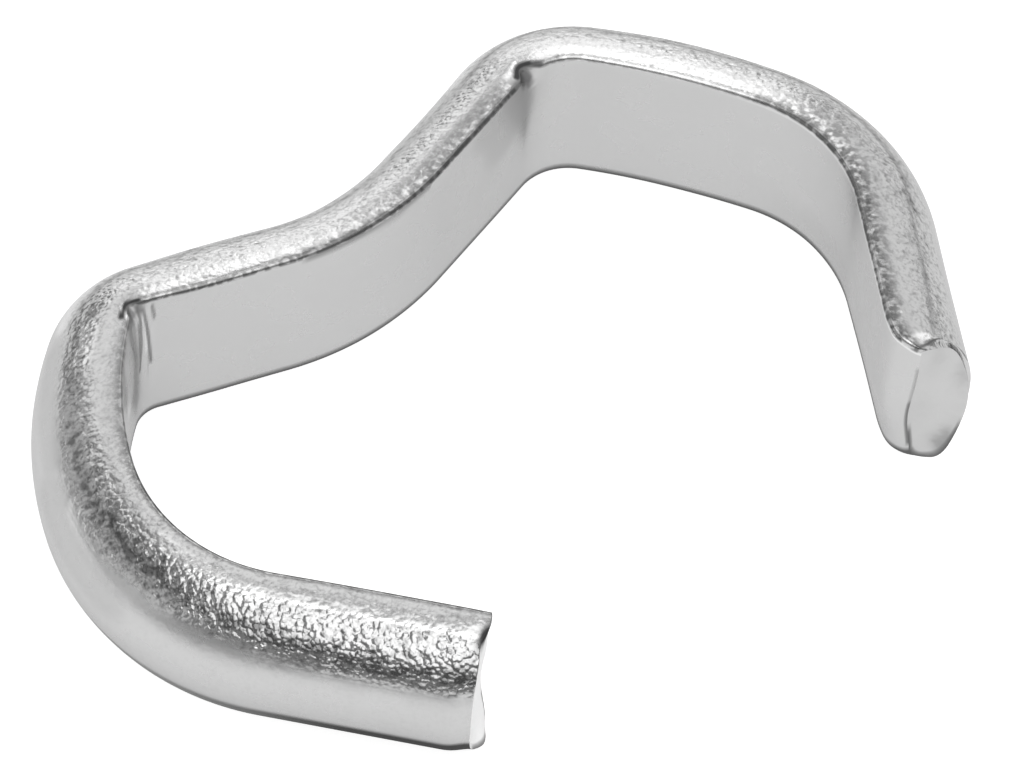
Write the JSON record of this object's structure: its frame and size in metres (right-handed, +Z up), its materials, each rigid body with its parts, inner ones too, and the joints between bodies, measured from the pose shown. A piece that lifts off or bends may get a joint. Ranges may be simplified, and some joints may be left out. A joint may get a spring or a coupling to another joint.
{
  "type": "bungee cord clip",
  "caption": "Open wire clip of half-round steel, bent into a round loop and a square loop that close around an elastic cord.",
  "frame": {"origin": "under the middle of the clip as it lies on the edge of its wire, on the surface it lies on", "axes": "+Z up, along the width of the wire's flat side; +X and +Y in the plane that the wire is bent in, +X from the round loop towards the square loop, with the floors of both loops on the +Y side"},
  "size_m": [0.0276, 0.0254, 0.0055],
  "materials": {
    "zinc_plated_steel": "dull zinc coating over drawn half-round wire: smooth on the flat side, grainy and sparkling on the shoulders of the crown"
  },
  "bodies": {
    "root": {"cord_clip": "zinc_plated_steel"}
  },
  "joints": []
}
